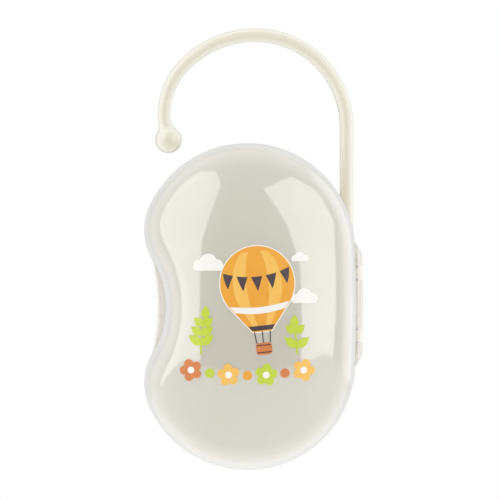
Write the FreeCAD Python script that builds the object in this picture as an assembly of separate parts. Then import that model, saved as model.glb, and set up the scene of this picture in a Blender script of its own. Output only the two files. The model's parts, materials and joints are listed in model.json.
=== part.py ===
import FreeCAD, Part
import math
import os

Vector = FreeCAD.Vector

# A hinged case for two soothers: an ivory back shell, a clear front lid on a pin hinge, and a rod
# hook that hangs the case from a strap or a handle bar. All sizes are in millimetres.
# X points to the hinge side, Y to the back and Z up. The case is drawn about the middle of its
# parting plane, then moved so that the point where the hook hangs is the origin.

# Outline of the case, seen from the front: two lobes, a bowed hinge side and a drawn-in waist
case_height = 100.0
lobe_radius = 33.0
corner_radius = 18.0
corner_turn = math.radians(155.0)
side_radius = 322.0
waist_set_in = 6.4

# Moulded walls
draft = math.radians(6.0)
lid_depth = 22.0
lid_wall = 1.2
lid_crown_across = 55.0
lid_crown_along = 130.0
lid_round = 10.0
shell_depth = 19.5
shell_floor = 1.6
shell_crown_across = 70.0
shell_crown_along = 170.0
shell_round = 9.0
pad_cut = 1.0

# Rim: the shell's tongue stands inside the lid's edge and a bead at the waist holds the lid shut
parting_gap = 0.2
rim_gap = 0.3
tongue_wall = 1.0
tongue_height = 1.8
bead_radius = 0.25
bead_sweep = math.radians(24.0)

# Thumb lip of the lid, at the waist
lip_set_in = 4.2
lip_radius = 60.0
lip_half_length = 17.0
lip_thickness = 1.6
lip_round = 0.6

# Hinge on the bowed side: the lid's knuckle runs along it, with two slots for the shell's clips
hinge_set_in = 0.4
hinge_rise = 0.7
knuckle_radius = 2.2
knuckle_length = 29.9
clip_spread = 15.6
clip_length = 3.5
slant_length = 3.7
end_gap = 0.3
pin_radius = 0.8
pin_end_gap = 0.5
pin_hold_gap = 0.02
running_gap = 0.05
clip_mouth_share = 0.8

# Rod hook, with its foot in a socket post of the shell
hook_depth = 3.6
leg_set_in = 3.1
seat_rise = 7.0
hook_rise = 5.2
arch_radius = 28.0
crest_radius = 30.4
crest_turn = math.radians(45.0)
curl_radius = 22.0
curl_turn = math.radians(65.3)
rod_radius = 2.1
foot_radius = 2.0
neck_radius = 1.85
neck_round = 4.0
ball_radius = 4.1
spigot_radius = 1.4
spigot_length = 11.0
spigot_bead = 0.25
spigot_bead_height = 1.2
spigot_bead_rise = 3.0
spigot_chamfer = 0.4
seat_gap = 0.3
socket_wall = 1.1
socket_floor = 1.2

# Cuts run past the faces that they open by this much
overrun = 1.0

# Centres and joins of the outline's arcs, worked out so that the arcs run into each other smoothly
slope = math.tan(draft)
lobe_z = case_height / 2 - lobe_radius
corner_x = (lobe_radius - corner_radius) * math.cos(corner_turn)
corner_z = lobe_z + (lobe_radius - corner_radius) * math.sin(corner_turn)
left_reach = corner_x - corner_radius
waist_radius = corner_z ** 2 / (2 * waist_set_in) + waist_set_in / 2 - corner_radius
waist_x = left_reach + waist_set_in - waist_radius
waist_join = math.atan2(corner_z, corner_x - waist_x)
side_x = -math.sqrt((side_radius - lobe_radius) ** 2 - lobe_z ** 2)
side_join = math.atan2(lobe_z, -side_x)
right_reach = side_x + side_radius

# Walls and places that follow from the fits
tongue_inset = lid_wall + rim_gap
shell_wall = tongue_inset + tongue_wall
hinge_x = right_reach - hinge_set_in
clip_start = clip_spread / 2
clip_end = clip_start + clip_length
knuckle_half = knuckle_length / 2
hinge_half = knuckle_half + slant_length
pin_half = knuckle_half - pin_end_gap
leg_x = right_reach - leg_set_in
seat_z = lobe_z + seat_rise
arch_z = case_height / 2 + hook_rise
crest_x = leg_x - arch_radius
hang_point = Vector(crest_x, hook_depth, arch_z + arch_radius - rod_radius)


def polar(x, y, z, radius, angle):
    """Point at an angle on a circle in the plane at depth y."""
    return Vector(x + radius * math.cos(angle), y, z + radius * math.sin(angle))


def flip(point):
    """The point's mirror image in the case's middle height."""
    return Vector(point.x, point.y, -point.z)


def outline(inset, y):
    """Outline of the case at depth y, drawn inside the rim's edge: six arcs, each tangent to the next."""
    lobe = lobe_radius - inset
    corner = corner_radius - inset
    waist = waist_radius + inset
    side = side_radius - inset
    side_end = polar(side_x, y, 0, side, side_join)
    lobe_middle = polar(0, y, lobe_z, lobe, (side_join + corner_turn) / 2)
    lobe_end = polar(0, y, lobe_z, lobe, corner_turn)
    corner_middle = polar(corner_x, y, corner_z, corner, (corner_turn + math.pi + waist_join) / 2)
    corner_end = polar(waist_x, y, 0, waist, waist_join)
    arcs = [
        (flip(side_end), polar(side_x, y, 0, side, 0), side_end),
        (side_end, lobe_middle, lobe_end),
        (lobe_end, corner_middle, corner_end),
        (corner_end, polar(waist_x, y, 0, waist, 0), flip(corner_end)),
        (flip(corner_end), flip(corner_middle), flip(lobe_end)),
        (flip(lobe_end), flip(lobe_middle), flip(side_end)),
    ]
    return Part.Wire([Part.Arc(*points).toShape() for points in arcs])


def crown_block(depth, across, along, facing):
    """Block whose outer face is bowed both ways: an arc across the case, swung about a far axis."""
    half_width = right_reach + overrun
    drop = across - math.sqrt(across ** 2 - half_width ** 2)
    axis = Vector(0, facing * (depth - along), 0)
    crest = Vector(0, facing * depth, 0)
    left = Vector(-half_width, facing * (depth - drop), 0)
    right = Vector(half_width, facing * (depth - drop), 0)
    inner_right = Vector(half_width, axis.y / 2, 0)
    inner_left = Vector(-half_width, axis.y / 2, 0)
    edges = [
        Part.Arc(left, crest, right).toShape(),
        Part.makeLine(right, inner_right),
        Part.makeLine(inner_right, inner_left),
        Part.makeLine(inner_left, left),
    ]
    face = Part.Face(Part.Wire(edges))
    swing = math.degrees(math.atan2(case_height, along))
    face.rotate(axis, Vector(1, 0, 0), -swing)
    return face.revolve(axis, Vector(1, 0, 0), 2 * swing)


def dome(inset, start, depth, across, along, edge_round, facing):
    """Drafted wall on the outline, closed by a crowned face with a generous rounded edge."""
    foot = outline(inset + start * slope, facing * start)
    head = outline(inset + depth * slope, facing * depth)
    solid = Part.makeLoft([foot, head], True, True)
    solid = solid.common(crown_block(depth, across, along, facing))
    crest = Part.Vertex(0, facing * depth, 0)
    crown = min(solid.Faces, key=lambda face: face.distToShape(crest)[0])
    return solid.makeFillet(edge_round, crown.Edges).Solids[0]


def lid_dome(inset, start):
    """The lid's outer or inner form, which differ by the wall between them."""
    return dome(inset, start, lid_depth - inset, lid_crown_across - inset, lid_crown_along - inset,
                lid_round - inset, -1)


def shell_dome(inset, floor, start):
    """The shell's outer or inner form, cut flat at the back where the case lies on a table."""
    form = dome(inset, start, shell_depth + pad_cut - floor, shell_crown_across - floor,
                shell_crown_along - floor, shell_round - floor, 1)
    keep = Part.makeBox(4 * lobe_radius, shell_depth - floor + case_height, 2 * case_height,
                        Vector(-2 * lobe_radius, -case_height, -case_height))
    return form.common(keep).Solids[0]


def rod(radius, bottom, top, x, y):
    """Upright round bar between two heights."""
    return Part.makeCylinder(radius, top - bottom, Vector(x, y, bottom), Vector(0, 0, 1))


def hinge_bar(radius, bottom, top):
    """Bar on the hinge's axis, with heights counted from the middle of the hinge."""
    return rod(radius, hinge_rise + bottom, hinge_rise + top, hinge_x, 0)


def both_ends(shape):
    """The shape and its mirror image about the middle of the hinge."""
    return [shape, shape.mirror(Vector(0, 0, hinge_rise), Vector(0, 0, 1))]


def snap_ring(radius):
    """Half-hidden round bead along the tongue's outer face at the waist."""
    path_radius = waist_radius + tongue_inset + slope * tongue_height / 2
    section = Part.makeCircle(radius, Vector(waist_x + path_radius, -tongue_height / 2, 0), Vector(0, 0, 1))
    face = Part.Face(Part.Wire(section))
    centre = Vector(waist_x, 0, 0)
    face.rotate(centre, Vector(0, 1, 0), -math.degrees(bead_sweep) / 2)
    return face.revolve(centre, Vector(0, 1, 0), math.degrees(bead_sweep))


def thumb_lip():
    """Crescent plate that overhangs the waist, for a thumb to lift."""
    edge_x = left_reach + lip_set_in
    end_x = edge_x - lip_radius + math.sqrt(lip_radius ** 2 - lip_half_length ** 2)
    root_x = left_reach + waist_set_in + lid_wall
    upper = Vector(end_x, 0, lip_half_length)
    upper_root = Vector(root_x, 0, lip_half_length)
    edges = [
        Part.Arc(flip(upper), Vector(edge_x, 0, 0), upper).toShape(),
        Part.makeLine(upper, upper_root),
        Part.makeLine(upper_root, flip(upper_root)),
        Part.makeLine(flip(upper_root), flip(upper)),
    ]
    plate = Part.Face(Part.Wire(edges)).extrude(Vector(0, -lip_thickness, 0))
    front = [edge for edge in plate.Edges
             if isinstance(edge.Curve, Part.Circle) and edge.CenterOfMass.y < -lip_thickness / 2]
    return plate.makeFillet(lip_round, front)


def knuckle_slant():
    """Wedge that takes the corner off the knuckle's upper end, from its full width to its axis."""
    steep = slant_length / knuckle_radius
    reach = knuckle_radius + overrun
    tip_z = hinge_rise + hinge_half
    corners = [
        Vector(hinge_x - overrun, -reach, tip_z + overrun * steep),
        Vector(hinge_x + reach, -reach, tip_z + overrun * steep),
        Vector(hinge_x + reach, -reach, tip_z - reach * steep),
    ]
    return Part.Face(Part.makePolygon(corners + corners[:1])).extrude(Vector(0, 2 * reach, 0))


def front_lid():
    """Clear dome with the thumb lip, the hinge's slotted knuckle and a groove for the snap bead."""
    lid = lid_dome(0, 0).fuse(thumb_lip()).cut(lid_dome(lid_wall, -overrun))
    lid = lid.fuse(hinge_bar(knuckle_radius, -hinge_half, hinge_half).cut(both_ends(knuckle_slant())))
    lid = lid.cut(both_ends(hinge_bar(knuckle_radius + rim_gap, clip_start - end_gap, clip_end + end_gap)))
    lid = lid.cut(hinge_bar(pin_radius + pin_hold_gap, -knuckle_half, knuckle_half))
    return lid.cut(snap_ring(bead_radius + rim_gap)).Solids[0]


def knuckle_room(bottom, top):
    """Room in the shell's edge for a stretch of the knuckle, clear through the rim's tongue."""
    reach = knuckle_radius + overrun
    slot = Part.makeBox(reach, reach, top - bottom, Vector(hinge_x - reach, -reach, hinge_rise + bottom))
    return hinge_bar(knuckle_radius + rim_gap, bottom, top).fuse(slot)


def clip_bore():
    """Hole for the pin through a clip, with a narrower mouth to the outside that the pin snaps through."""
    bore = hinge_bar(pin_radius + running_gap, clip_start - overrun, clip_end + overrun)
    mouth_width = 2 * pin_radius * clip_mouth_share
    mouth = Part.makeBox(knuckle_radius + overrun, mouth_width, clip_length + 2 * overrun,
                         Vector(hinge_x, -mouth_width / 2, hinge_rise + clip_start - overrun))
    return bore.fuse(mouth)


def spigot(gap):
    """Foot of the hook below its seat, with a bead that snaps into the socket, grown by a gap."""
    radius = spigot_radius + gap
    bead = radius + spigot_bead
    bottom = seat_z - spigot_length - gap
    bead_middle = seat_z - spigot_length + spigot_bead_rise
    bead_half = spigot_bead_height / 2 + gap
    profile = [
        (0, bottom), (radius - spigot_chamfer, bottom), (radius, bottom + spigot_chamfer),
        (radius, bead_middle - bead_half), (bead, bead_middle), (radius, bead_middle + bead_half),
        (radius, seat_z + overrun), (0, seat_z + overrun),
    ]
    points = [Vector(leg_x + across, hook_depth, up) for across, up in profile]
    face = Part.Face(Part.makePolygon(points + points[:1]))
    return face.revolve(Vector(leg_x, hook_depth, 0), Vector(0, 0, 1), 360)


def hook_socket():
    """Recess for the hook's leg and, below its seat, the bore for the spigot."""
    recess = rod(foot_radius + seat_gap, seat_z - seat_gap, case_height / 2, leg_x, hook_depth)
    return recess.fuse(spigot(running_gap))


def back_shell():
    """Ivory bowl with the rim's tongue, two hinge clips and the post that holds the hook."""
    outside = shell_dome(0, 0, parting_gap)
    tongue = Part.makeLoft([outline(tongue_inset + tongue_height * slope, -tongue_height),
                            outline(tongue_inset - shell_floor * slope, shell_floor)], True, True)
    shell = outside.fuse(tongue).cut(shell_dome(shell_wall, shell_floor, -tongue_height - overrun))
    post = rod(foot_radius + seat_gap + socket_wall, seat_z - spigot_length - socket_floor,
               case_height / 2, leg_x, hook_depth)
    shell = shell.fuse(post.common(outside)).cut(hook_socket())
    rooms = [knuckle_room(-clip_start, clip_start), *both_ends(knuckle_room(clip_end, hinge_half + end_gap))]
    clips = both_ends(hinge_bar(knuckle_radius, clip_start, clip_end))
    shell = shell.cut(rooms).fuse(clips).cut(both_ends(clip_bore()))
    return shell.fuse(snap_ring(bead_radius)).Solids[0]


def hinge_pin():
    """Plain pin, held in the lid's knuckle, on which the shell's clips turn."""
    return hinge_bar(pin_radius, -pin_half, pin_half)


def carry_hook():
    """Tapered rod: a straight leg, an arch in three arcs and a ball at its free end."""
    upright = math.pi / 2
    crest_z = arch_z + arch_radius - crest_radius
    crest_end = upright + crest_turn
    curl_x = crest_x + (crest_radius - curl_radius) * math.cos(crest_end)
    curl_z = crest_z + (crest_radius - curl_radius) * math.sin(crest_end)
    curl_end = crest_end + curl_turn

    def bend(x, z, radius, start, end):
        angles = (start, (start + end) / 2, end)
        return Part.Arc(*[polar(x, hook_depth, z, radius, angle) for angle in angles]).toShape()

    foot = Vector(leg_x, hook_depth, seat_z)
    spring = Vector(leg_x, hook_depth, arch_z)
    crest = polar(crest_x, hook_depth, arch_z, arch_radius, upright)
    tip = polar(curl_x, hook_depth, curl_z, curl_radius, curl_end)
    path = Part.Wire([
        Part.makeLine(foot, spring),
        bend(crest_x, arch_z, arch_radius, 0, upright),
        bend(crest_x, crest_z, crest_radius, upright, crest_end),
        bend(curl_x, curl_z, curl_radius, crest_end, curl_end),
    ])
    tip_way = Vector(-math.sin(curl_end), 0, math.cos(curl_end))
    sweep = Part.BRepOffsetAPI.MakePipeShell(path)
    sweep.add(Part.Wire(Part.makeCircle(foot_radius, foot, Vector(0, 0, 1))))
    sweep.add(Part.Wire(Part.makeCircle(rod_radius, crest, Vector(-1, 0, 0))))
    sweep.add(Part.Wire(Part.makeCircle(neck_radius, tip, tip_way)))
    sweep.build()
    sweep.makeSolid()
    bar = sweep.shape()
    hook = bar.fuse(Part.makeSphere(ball_radius, tip))
    ball = next(face for face in hook.Faces if isinstance(face.Surface, Part.Sphere))
    neck = [edge for edge in ball.Edges if not edge.Degenerated and not edge.isSeam(ball)]
    hook = hook.makeFillet(neck_round, neck)
    return hook.fuse(spigot(0)).Solids[0]


os.makedirs("parts", exist_ok=True)
pieces = {
    "back_shell": back_shell(),
    "front_lid": front_lid(),
    "hinge_pin": hinge_pin(),
    "carry_hook": carry_hook(),
}
for name, shape in pieces.items():
    shape.translate(-hang_point)
    shape.exportStep("parts/" + name + ".step")
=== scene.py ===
import json
from math import cos, pi, radians, sin

import bpy
import numpy as np
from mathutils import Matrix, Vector


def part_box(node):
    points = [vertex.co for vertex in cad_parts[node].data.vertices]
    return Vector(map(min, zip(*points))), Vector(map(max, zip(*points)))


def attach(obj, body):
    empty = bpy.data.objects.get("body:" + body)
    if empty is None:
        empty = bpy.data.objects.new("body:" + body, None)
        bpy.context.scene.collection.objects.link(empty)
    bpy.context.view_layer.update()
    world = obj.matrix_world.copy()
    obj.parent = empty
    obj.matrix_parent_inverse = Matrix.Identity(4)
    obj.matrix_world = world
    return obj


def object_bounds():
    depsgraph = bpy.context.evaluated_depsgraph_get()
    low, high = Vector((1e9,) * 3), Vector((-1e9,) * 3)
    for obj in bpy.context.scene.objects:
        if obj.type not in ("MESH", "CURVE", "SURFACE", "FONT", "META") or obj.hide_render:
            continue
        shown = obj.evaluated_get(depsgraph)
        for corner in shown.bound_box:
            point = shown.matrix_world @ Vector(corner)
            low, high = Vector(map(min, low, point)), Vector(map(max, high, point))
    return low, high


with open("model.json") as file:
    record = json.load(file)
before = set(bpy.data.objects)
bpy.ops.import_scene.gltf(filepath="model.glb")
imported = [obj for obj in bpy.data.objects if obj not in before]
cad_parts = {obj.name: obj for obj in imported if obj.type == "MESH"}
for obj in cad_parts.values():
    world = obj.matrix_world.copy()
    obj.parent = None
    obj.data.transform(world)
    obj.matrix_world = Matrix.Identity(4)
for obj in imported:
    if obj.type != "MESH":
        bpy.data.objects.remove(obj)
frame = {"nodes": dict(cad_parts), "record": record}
cad_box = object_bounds()


# Back shell. The rear half of the case is a deep bowl with a tongue round its rim, two clips for the
# hinge pin and a socket post for the hook. It is one moulding of ivory polypropylene, polished by the
# mould, with the faint waviness and cloudy pigment of a thin moulded wall.

class Wire:
    """A shader socket that works in Python sums: each operator adds one Math node."""

    def __init__(self, tree, socket=None):
        self.tree = tree
        self.socket = socket

    def node(self, kind, settings=None, inputs=None, output=0):
        """Adds a node: first its settings, then the values or links of its sockets. Gives one output."""
        made = self.tree.nodes.new("ShaderNode" + kind)
        for name, value in (settings or {}).items():
            setattr(made, name, value)
        for key, value in (inputs or {}).items():
            if isinstance(value, Wire):
                self.tree.links.new(value.socket, made.inputs[key])
            else:
                made.inputs[key].default_value = value
        return Wire(self.tree, made.outputs[output] if made.outputs else None)

    def sum(self, operation, first, second):
        """One Math node of two values or sockets."""
        return self.node("Math", {"operation": operation}, {0: first, 1: second})

    def __add__(self, other):
        return self.sum("ADD", self, other)

    __radd__ = __add__

    def __sub__(self, other):
        return self.sum("SUBTRACT", self, other)

    def __rsub__(self, other):
        return self.sum("SUBTRACT", other, self)

    def __mul__(self, other):
        return self.sum("MULTIPLY", self, other)

    __rmul__ = __mul__

    def tint(self, low, high):
        """A colour between low and high, with this socket as the share of high."""
        return self.node("Mix", {"data_type": "RGBA"}, {0: self, 6: low, 7: high}, output=2)


def screen_colour(red, green, blue):
    """A colour as a screen shows it, 0 to 255, in Blender's linear numbers."""
    share = np.array([red, green, blue]) / 255
    linear = np.where(share > 0.04045, ((share + 0.055) / 1.055) ** 2.4, share / 12.92)
    return (*linear.tolist(), 1.0)


def between(value, low, high):
    """A share that rises smoothly from 0 to 1 while value goes from low to high."""
    return value.node("MapRange", {"interpolation_type": "SMOOTHSTEP"}, {
        "Value": value, "From Min": low, "From Max": high})


def new_finish(name):
    """An empty node material, with a wire to start its nodes from."""
    finish = bpy.data.materials.new(name)
    finish.use_nodes = True
    finish.node_tree.nodes.clear()
    return finish, Wire(finish.node_tree)


def pigment(place, scale=38):
    """Slow cloudy noise, scale waves to the metre, as pigment that flowed with the melt."""
    return place.node("TexNoise", inputs={
        "Vector": place, "Scale": scale, "Detail": 3, "Distortion": 0.6})


def polish(place, scale=260):
    """Even noise, scale waves to the metre, as the mould's polish leaves it."""
    return place.node("TexNoise", inputs={"Vector": place, "Scale": scale, "Detail": 2})


polish_depth = 0.00006


def moulded_plastic(name, pale, deep, constants, gloss, edge=None, relief=0.10,
                    streaks=38, waves=260, grain=2600):
    """Glossy moulded plastic, with noise counted in waves per metre.

    Colour: pale to deep by the pigment's noise. Where edge is given, it goes on to the first colour
    of edge as the surface turns away, a painted highlight, and to the second at the outline, a
    painted shade line.
    Roughness: gloss, a lowest and a highest value, by noise of a few millimetres.
    Bump: long low waves of the mould's polish and a much finer grain.
    """
    finish, start = new_finish(name)
    place = start.node("TexCoord", output="Object")
    speck_share = 0.2
    painted_sheen_at = 0.35
    painted_dark_outline_from = 0.4
    painted_dark_outline_at = 0.8
    cloud = pigment(place, streaks)
    wave = polish(place, waves)
    speck = polish(place, grain)
    tone = cloud.tint(deep, pale)
    # The edge colours are painted light: a paler band as the surface turns away is a painted highlight,
    # and a greyer line at the outline is painted shade.
    if edge:
        turned_away = place.node("LayerWeight", inputs={"Blend": 0.5}, output="Facing")
        tone = between(turned_away, 0, painted_sheen_at).tint(tone, edge[0])
        tone = between(turned_away, painted_dark_outline_from, painted_dark_outline_at).tint(tone, edge[1])
    height = wave * (1 - speck_share) + speck * speck_share
    bump = place.node("Bump", inputs={"Strength": relief, "Distance": polish_depth, "Height": height})
    body = place.node("BsdfPrincipled", inputs={
        "Base Color": tone,
        "Roughness": wave * (gloss[1] - gloss[0]) + gloss[0],
        "Normal": bump,
        **constants,
    })
    place.node("OutputMaterial", inputs={"Surface": body})
    return finish


def dress(node, finish):
    """Gives a carried-over solid its finish in all its slots."""
    for place in frame["nodes"][node].material_slots:
        place.material = finish


# The ivory's edge colours are painted light: a paler band where the surface turns away is a painted
# highlight, and a greyer line at the outline is painted shade.
ivory = moulded_plastic(
    "ivory_polypropylene",
    pale=screen_colour(232, 228, 211),
    deep=screen_colour(229, 224, 206),
    edge=(screen_colour(245, 243, 231), screen_colour(222, 219, 206)),
    constants={"IOR": 1.5},
    gloss=(0.14, 0.20),
    relief=0.01,
)
dress("back_shell", ivory)


# Carry hook. A round rod with a ball at its free end, moulded in the same ivory polypropylene and
# pressed by a beaded spigot into the shell's socket post.

dress("carry_hook", ivory)


# Front lid. The front half is a thin crowned dome of unpigmented polypropylene, clear with a milky
# cast. Its face mirrors the room, and its sides grow denser as they turn away. Near the outline it
# turns to a matt grey, painted shade for a thin grey line round the lid. It is one moulding with the
# slotted knuckle that holds the hinge pin at the right.

milk_share = 0.55
rim_milk_share = 0.95
milk_drift = 0.04
lid_gloss = (0.20, 0.26)
lid_relief = 0.03
painted_rim_shade_share = 0.95
painted_rim_shade_from = 0.48
painted_rim_shade_at = 0.8
lid_finish, start = new_finish("milky_clear_polypropylene")
place = start.node("TexCoord", output="Object")
cloud = pigment(place)
wave = polish(place)
turned_away = start.node("LayerWeight", inputs={"Blend": 0.5}, output="Facing")
milk = milk_share + (rim_milk_share - milk_share) * turned_away
tone = cloud.tint(screen_colour(245, 241, 226), screen_colour(249, 245, 232))
body = start.node("BsdfPrincipled", inputs={
    "Base Color": turned_away.tint(tone, screen_colour(248, 248, 247)),
    "Roughness": wave * (lid_gloss[1] - lid_gloss[0]) + lid_gloss[0],
    "Alpha": milk + milk_drift * (cloud - 0.5),
    "Normal": start.node("Bump", inputs={
        "Strength": lid_relief, "Distance": polish_depth, "Height": wave}),
    "IOR": 1.49,
    "Coat Weight": 1.0,
    "Coat Roughness": 0.035,
    "Coat IOR": 2.1,
})
# Painted shade: a matt grey that takes over towards the outline paints the thin grey line round the lid.
edge = start.node("BsdfDiffuse", inputs={"Color": screen_colour(229, 229, 226)})
painted_rim_shade_on = painted_rim_shade_share * between(turned_away, painted_rim_shade_from, painted_rim_shade_at)
lid_with_painted_rim_shade = start.node("MixShader", inputs={0: painted_rim_shade_on, 1: body, 2: edge})
start.node("OutputMaterial", inputs={"Surface": lid_with_painted_rim_shade})
dress("front_lid", lid_finish)


# Hinge pin. A plain moulded acetal rod that joins the lid to the shell. It is held in the blind bores
# of the lid's knuckle, and the shell's two clips turn on it.

dress("hinge_pin", moulded_plastic(
    "pin_acetal",
    pale=screen_colour(240, 238, 230),
    deep=screen_colour(232, 229, 220),
    constants={"IOR": 1.48},
    gloss=(0.35, 0.45),
))


# Print on the lid. Opaque inks are pad-printed on the outside of the lid, one colour after the other,
# so each colour stands a few hundredths of a millimetre on the one below. The motif is a hot-air
# balloon with clouds and leaves over a row of flowers.

back_pad = next(mount for mount in frame["record"]["mounts"] if mount["name"] == "back_pad")
lid_middle = Vector(back_pad["pos_m"])
lid_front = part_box("front_lid")[0].y
crown_across = 0.055
crown_along = 0.130
ink_key = 0.00002
ink_film = 0.00003


def on_lid(across, up, lift):
    """Points lift in front of the lid's crown, whose depth behind its front is
    along - sqrt((along - radius + sqrt(radius² - across²))² - up²), in places from the lid's middle."""
    bowed = crown_along - crown_across + np.sqrt(crown_across ** 2 - across ** 2)
    depth = crown_along - np.sqrt(bowed ** 2 - up ** 2)
    return np.stack([across + lid_middle.x, lid_front + depth - lift, up + lid_middle.z], axis=-1)


def ink_solid(flat, layer):
    """A thin closed patch over a grid of flat places: its face stands layer films in front of the lid,
    its back is keyed a little into it, and a strip of faces round the edge joins the two."""
    turn = np.diff(flat, axis=0)[:, :-1], np.diff(flat, axis=1)[:-1]
    if np.sum(turn[1][..., 0] * turn[0][..., 1] - turn[1][..., 1] * turn[0][..., 0]) < 0:
        flat = flat[::-1]
    rows, columns = flat.shape[:2]
    face = on_lid(flat[..., 0], flat[..., 1], layer * ink_film).reshape(-1, 3)
    back = on_lid(flat[..., 0], flat[..., 1], -ink_key).reshape(-1, 3)
    index = np.arange(rows * columns).reshape(rows, columns)
    corners = index[:-1, :-1], index[:-1, 1:], index[1:, 1:], index[1:, :-1]
    quads = np.stack([corner.ravel() for corner in corners], axis=-1)
    edge = np.concatenate([index[0], index[1:, -1], index[-1, -2::-1], index[-2:0:-1, 0]])
    after = np.roll(edge, -1)
    strip = np.stack([after, edge, edge + index.size, after + index.size], axis=-1)
    return np.concatenate([face, back]), np.concatenate([quads, quads[:, ::-1] + index.size, strip])


def shaped(reach, steps=24):
    """A square grid drawn out to a disc by x = u·sqrt(1 - v²/2), y = v·sqrt(1 - u²/2), with each point's
    distance then multiplied by reach, a function of its angle from straight up."""
    line = np.linspace(-1, 1, steps + 1)
    u, v = np.meshgrid(line, line)
    x = u * np.sqrt(1 - v ** 2 / 2)
    y = v * np.sqrt(1 - u ** 2 / 2)
    far = reach(np.arctan2(x, y))
    return np.stack([x * far, y * far], axis=-1)


def stroke(path, half_width, steps=24, lanes=4):
    """A strip along a path of t from 0 to 1, half_width of t to each side, square to the path."""
    t = np.linspace(0, 1, steps + 1)
    middle = np.stack(path(t), axis=-1)
    along = np.gradient(middle, axis=0)
    side = np.stack([along[:, 1], -along[:, 0]], axis=-1) / np.linalg.norm(along, axis=1)[:, None]
    lane = np.linspace(-1, 1, lanes + 1)[None, :, None]
    return middle[:, None] + side[:, None] * lane * half_width(t)[:, None, None]


def placed(flat, at, turn=0.0):
    """Flat places turned clockwise by turn and moved to at."""
    x, y = flat[..., 0], flat[..., 1]
    turned = x * cos(turn) + y * sin(turn), y * cos(turn) - x * sin(turn)
    return np.stack(turned, axis=-1) + np.array(at)


def even(size):
    """A half-width that stays the same along a stroke, or a reach that does so round a disc."""
    return lambda t: np.full_like(t, size)


prints = {}


def print_patch(colour, layer, flat):
    """Keeps a patch of ink for the piece of its colour."""
    prints.setdefault(colour, []).append(ink_solid(flat, layer))


# The balloon's envelope is a circle with two straight flanks, tangent to it, down to the mouth.
balloon_at = (0.0030, 0.0073)
balloon_lean = radians(-6)
envelope_radius = 0.0112
flank_turn = radians(52)
mouth_drop = 0.0146
key_margin = 0.0003


def envelope_reach(margin):
    """Distance to the envelope's edge by angle: the radius above the flanks' tangent points, then the
    flanks' tangent lines, cut off level at the mouth."""
    def reach(angle):
        from_below = pi - np.abs(angle)
        flank = envelope_radius / np.cos(np.maximum(flank_turn - from_below, 0))
        level = mouth_drop / np.maximum(np.cos(from_below), 0.01)
        return np.minimum(flank, level) + margin
    return reach


def on_envelope(share, height, sag):
    """A place on the envelope: share of its half-width at that height, with level lines sagging in
    the middle by sag, as on a round bag seen from a little above."""
    up = height - sag * (1 - share ** 2)
    round_width = np.sqrt(np.maximum(envelope_radius ** 2 - up ** 2, 0))
    flank_width = (envelope_radius + up * cos(flank_turn)) / sin(flank_turn)
    width = np.where(up > -envelope_radius * cos(flank_turn), round_width, flank_width)
    return np.stack([share * width, up], axis=-1)


def gore(share_from, share_to, top, bottom, sag=0.0, steps=28):
    """A patch of the envelope between two shares of its half-width and two heights."""
    share, height = np.meshgrid(np.linspace(share_from, share_to, 13), np.linspace(bottom, top, steps))
    return on_envelope(share, height, sag)


def pennant(middle, half_share, top, drop, sag):
    """A flag on the envelope that narrows from its top to a blunt point."""
    lane, fall = np.meshgrid(np.linspace(-1, 1, 9), np.linspace(0, 1, 13))
    narrowing = 0.06 + 0.94 * fall
    return on_envelope(middle + lane * half_share * narrowing, top - drop * (1 - fall), sag)


def print_balloon(colour, layer, flat):
    """Keeps a patch that is drawn about the middle of the envelope's circle."""
    print_patch(colour, layer, placed(flat, balloon_at, balloon_lean))


print_balloon("white", 1, shaped(envelope_reach(key_margin), steps=40))
print_balloon("orange", 2, shaped(envelope_reach(0), steps=40))
for side in (-1, 1):
    print_balloon("amber", 3, gore(side * 0.30, side * 0.66, top=0.0096, bottom=-0.0140))
for middle in np.linspace(-0.80, 0.80, 5):
    print_balloon("plum", 4, pennant(middle, 0.15, top=0.0042, drop=0.0042, sag=0.0022))
print_balloon("white", 4, gore(-0.97, 0.97, top=-0.0062, bottom=-0.0082, sag=0.0010, steps=6))
print_balloon("plum", 4, gore(-0.96, 0.96, top=-0.0128, bottom=-0.0142, sag=0.0, steps=4))

rope_half_width = 0.00016
rope_drop = 0.0034
basket_half_width = 0.0024
basket_height = 0.0036
mouth_half_width = (envelope_radius - mouth_drop * cos(flank_turn)) / sin(flank_turn)
rope_spread = basket_half_width - mouth_half_width
for share in (-0.85, 0, 0.85):
    print_balloon("plum", 2, stroke(
        lambda t: (share * (mouth_half_width + rope_spread * t), -mouth_drop - rope_drop * t),
        even(rope_half_width), steps=6, lanes=2))


def basket_reach(angle):
    """A rounded box as a superellipse: (|sin/a|ⁿ + |cos/b|ⁿ) to the power -1/n."""
    power = 5
    wide = np.abs(np.sin(angle) / basket_half_width) ** power
    tall = np.abs(np.cos(angle) / (basket_height / 2)) ** power
    return (wide + tall) ** (-1 / power)


basket_drop = mouth_drop + rope_drop + basket_height / 2
print_balloon("terracotta", 3, placed(shaped(basket_reach), (0, -basket_drop)))
for share in (-0.3, 0.3):
    print_balloon("plum", 4, stroke(
        lambda t: ((2 * t - 1) * basket_half_width * 0.9, -basket_drop + share * basket_height + 0 * t),
        even(rope_half_width), steps=6, lanes=2))


def lobed(discs, base=None):
    """The outer edge of overlapping discs, each across, up and radius from a common middle: the farthest
    meeting of a ray with any of them, cut off level at base below the middle where one is given."""
    def reach(angle):
        across, up, radius = np.array(discs).T[:, :, None, None]
        along = across * np.sin(angle) + up * np.cos(angle)
        beside = across * np.cos(angle) - up * np.sin(angle)
        inside = np.maximum(radius ** 2 - beside ** 2, 0)
        far = np.where(inside > 0, along + np.sqrt(inside), 0).max(axis=0)
        if base is None:
            return far
        return np.minimum(far, base / np.maximum(-np.cos(angle), 0.01))
    return reach


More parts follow.
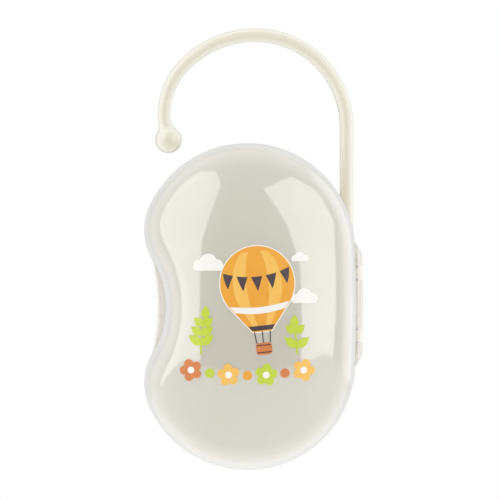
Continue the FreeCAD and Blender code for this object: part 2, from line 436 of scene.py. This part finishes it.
# Clouds are four overlapping puffs on a level base.
puff_base = 0.42
puff_shares = np.array(((-0.55, -0.12, 0.42), (0.0, 0.12, 0.58), (0.56, -0.10, 0.44), (0.0, -0.2, 0.5)))
cloud_places = ((-0.0118, 0.0130, 0.0046), (0.0172, 0.0030, 0.0040), (0.0158, 0.0150, 0.0026))
for across, up, size in cloud_places:
    puffs = shaped(lobed(puff_shares * size, puff_base * size), steps=48)
    print_patch("white", 2, placed(puffs, (across, up)))


def leaf(length, width):
    """A leaf along its own midrib, widest a little below its middle."""
    return stroke(
        lambda t: (0.0 * t, length * t),
        lambda t: width * (0.03 + np.sin(pi * t ** 0.8)) / 1.03, steps=20)


# Sprigs are a bent stem with leaves in pairs and one at the tip.
leaf_length = 0.0046
leaf_width = 0.0013
leaf_spread = radians(52)
stem_half_width = 0.00028
sprigs = ((-0.0140, -0.0140, 0.0110, 0.0012, 3), (0.0150, -0.0140, 0.0082, -0.0010, 2))
for across, up, height, bend, pairs in sprigs:
    print_patch("lime", 2, stroke(
        lambda t: (across + bend * t ** 2, up + height * t),
        lambda t: stem_half_width * (1.2 - 0.6 * t), steps=16, lanes=2))
    for share in np.linspace(0.25, 0.78, pairs):
        root = across + bend * share ** 2, up + height * share
        pair_leaf = leaf(leaf_length * (1.15 - 0.45 * share), leaf_width)
        for side in (-1, 1):
            print_patch("lime", 3, placed(pair_leaf, root, side * leaf_spread))
    tip = across + bend, up + height * 0.96
    print_patch("lime", 3, placed(leaf(leaf_length * 0.85, leaf_width), tip, radians(5)))

# Flowers and dots stand in a shallow arc below.
row_rise = 0.0016
row_height = -0.0205
row_reach = 0.0170
flower_radius = 0.0034
eye_radius = flower_radius * 0.3
dot_radius = flower_radius * 0.42
petal_out = 0.6
petal_round = 0.4
petal_turns = np.arange(5) * 2 * pi / 5
petals = petal_out * np.sin(petal_turns), petal_out * np.cos(petal_turns), np.full(5, petal_round)
petal_discs = np.stack(petals, axis=-1) * flower_radius
row = ("terracotta", "lime", "amber", "orange", "lime", "terracotta", "amber")
for number, colour in enumerate(row):
    share = 2 * number / (len(row) - 1) - 1
    at = (share * row_reach, row_height + row_rise * share ** 2)
    if number % 2:
        print_patch(colour, 2, placed(shaped(even(dot_radius), steps=14), at))
    else:
        print_patch(colour, 2, placed(shaped(lobed(petal_discs), steps=48), at, share * radians(20)))
        print_patch("white", 3, placed(shaped(even(eye_radius), steps=14), at))

ink_colours = {
    "white": (screen_colour(250, 248, 243), screen_colour(244, 241, 235)),
    "orange": (screen_colour(243, 173, 52), screen_colour(236, 160, 40)),
    "amber": (screen_colour(250, 198, 96), screen_colour(246, 188, 82)),
    "plum": (screen_colour(78, 62, 68), screen_colour(66, 52, 58)),
    "lime": (screen_colour(201, 219, 64), screen_colour(188, 208, 48)),
    "terracotta": (screen_colour(220, 132, 68), screen_colour(209, 120, 56)),
}
for colour, patches in prints.items():
    starts = np.cumsum([0] + [len(points) for points, quads in patches[:-1]])
    points = np.concatenate([points for points, quads in patches])
    quads = np.concatenate([quads + start for start, (points_here, quads) in zip(starts, patches)])
    mesh = bpy.data.meshes.new("print_" + colour)
    mesh.from_pydata(points.tolist(), [], quads.tolist())
    mesh.shade_smooth()
    mesh.set_sharp_from_angle(angle=radians(40))
    pale, deep = ink_colours[colour]
    mesh.materials.append(moulded_plastic(
        "ink_" + colour, pale, deep,
        constants={"IOR": 1.5, "Coat Weight": 0.25, "Coat Roughness": 0.05, "Coat IOR": 1.55},
        gloss=(0.34, 0.46), streaks=320, waves=900, grain=6000))
    piece = bpy.data.objects.new("print_" + colour, mesh)
    bpy.context.scene.collection.objects.link(piece)
    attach(piece, "lid")


# Studio. The case hangs a little above a pale floor in white air, between two tall softboxes that
# lean in at the top, with a plain one at its right. The camera looks level at the lid through a long
# lens.

studio = bpy.context.scene
studio.view_settings.view_transform = "Standard"


def seen_shares(start):
    """Two shares: 1 for rays from the camera, and 1 for rays from gloss or through clear plastic."""
    names = ("Is Camera Ray", "Is Glossy Ray", "Is Transmission Ray")
    camera, gloss, clear = (start.node("LightPath", output=name) for name in names)
    return camera, gloss.sum("MAXIMUM", gloss, clear)


air = bpy.data.worlds.new("studio_air")
air.use_nodes = True
air.node_tree.nodes.clear()
start = Wire(air.node_tree)
light_front = 0.94
light_beside = 1.15
light_back = 0.62
light_lean = 0.1
shine_front = 0.5
shine_rise = 0.8
shine_beside = 1.1
sweep_left = 0.6
sweep_right = 1.05
light_to_beside = (-0.9, -0.1)
light_to_back = (0, 0.6)
shine_to_beside = (-0.75, 0)
shine_to_sweep = (0.2, 0.6)
shine_to_white = (0.985, 0.998)
left_to_right = (-0.2, 0.2)
direction = start.node("TexCoord", output="Generated")
across, depth, height = (
    start.node("SeparateXYZ", inputs={"Vector": direction}, output=name) for name in "XYZ")
camera_ray, shine_ray = seen_shares(start)
light = light_front + (light_beside - light_front) * between(depth, *light_to_beside)
light = light + (light_back - light) * between(depth, *light_to_back)
light = light * (1 + light_lean * height)
sweep = sweep_left + (sweep_right - sweep_left) * between(across, *left_to_right)
shine = shine_front + shine_rise * height
shine = shine + (shine_beside - shine) * between(depth, *shine_to_beside)
shine = shine + (sweep - shine) * between(depth, *shine_to_sweep)
shine = shine + (1 - shine) * between(depth, *shine_to_white)
strength = camera_ray.sum("MAXIMUM", camera_ray, light + shine_ray * (shine - light))
glow = start.node("Background", inputs={"Color": (1, 1, 1, 1), "Strength": strength})
start.node("OutputWorld", inputs={"Surface": glow})
studio.world = air

floor_drop = 0.06
floor_left = -0.28
floor_right = 0.39
floor_front = -0.30
floor_back = 0.80
floor_height = cad_box[0].z - floor_drop
floor_mesh = bpy.data.meshes.new("floor")
floor_mesh.from_pydata([
    (floor_left, floor_front, floor_height),
    (floor_right, floor_front, floor_height),
    (floor_right, floor_back, floor_height),
    (floor_left, floor_back, floor_height),
], [], [(0, 1, 2, 3)])
floor_finish, start = new_finish("pale_floor")
floor_light = 1.2
floor_far = 0.55
floor_far_from = 0.10
floor_far_at = 0.25
floor_matt = 0.92
floor_glow = 0.75
floor_white = 1.3
floor_seen = 0.3
matt = start.node("BsdfDiffuse", inputs={"Color": (floor_matt, floor_matt, floor_matt, 1)})
place = start.node("TexCoord", output="Object")
backwards = start.node("SeparateXYZ", inputs={"Vector": place}, output="Y")
behind = between(backwards, floor_far_from, floor_far_at)
camera_ray, shine_ray = seen_shares(start)
pale = camera_ray.sum("MAXIMUM", camera_ray, 1 - behind)
glow = start.node("Emission", inputs={
    "Color": pale.tint((floor_far, floor_far, floor_far, 1), (1, 1, 1, 1)),
    "Strength": floor_light + (floor_white - floor_light) * camera_ray,
})
glow_share = floor_glow + (floor_seen - floor_glow) * camera_ray
glow_share = glow_share.sum("MAXIMUM", glow_share, shine_ray)
floor_mix = start.node("MixShader", inputs={0: glow_share, 1: matt, 2: glow})
start.node("OutputMaterial", inputs={"Surface": floor_mix})
floor_finish.cycles.emission_sampling = "NONE"
floor_mesh.materials.append(floor_finish)
floor = bpy.data.objects.new("floor", floor_mesh)
studio.collection.objects.link(floor)

softbox_distance = 1.0
front_radiance = 2.7
side_radiance = 1.6


def softbox(name, radiance, corners):
    """A lit cloth panel between corners, each an azimuth from the camera's side and an elevation as the
    lid sees it, in degrees. It shows in the case's gloss only."""
    azimuth, elevation = np.radians(corners).T
    level = np.cos(elevation)
    towards = np.stack([np.sin(azimuth) * level, -np.cos(azimuth) * level, np.sin(elevation)], axis=-1)
    cloth = bpy.data.meshes.new(name)
    cloth.from_pydata((towards * softbox_distance + lid_middle).tolist(), [], [range(len(corners))])
    finish, start = new_finish(name + "_cloth")
    lit = start.node("Emission", inputs={"Strength": radiance})
    start.node("OutputMaterial", inputs={"Surface": lit})
    finish.cycles.emission_sampling = "NONE"
    cloth.materials.append(finish)
    panel = bpy.data.objects.new(name, cloth)
    panel.visible_camera = False
    panel.visible_diffuse = False
    studio.collection.objects.link(panel)


softbox("side_softbox", side_radiance, ((82, -45), (82, 45), (128, 45), (128, -45)))
softbox("left_softbox", front_radiance, (
    (-31, -25), (-30, 18), (-19, 34), (-56, 50), (-68, 30), (-68, -25)))
softbox("right_softbox", front_radiance, (
    (35.5, -20), (34.5, 10), (26, 23), (11.6, 33), (57, 33), (60, 25), (57, -20)))

frame_width = 0.1529
aim_across = -0.0016
aim_up = -0.0638
parting_plane = -0.0036
view_distance = 1.3
camera = bpy.data.cameras.new("photo_camera")
camera.sensor_width = 36
camera.lens = camera.sensor_width * view_distance / frame_width
camera_stand = bpy.data.objects.new("photo_camera", camera)
camera_stand.location = (aim_across, parting_plane - view_distance, aim_up)
camera_stand.rotation_euler = (pi / 2, 0, 0)
studio.collection.objects.link(camera_stand)
studio.camera = camera_stand
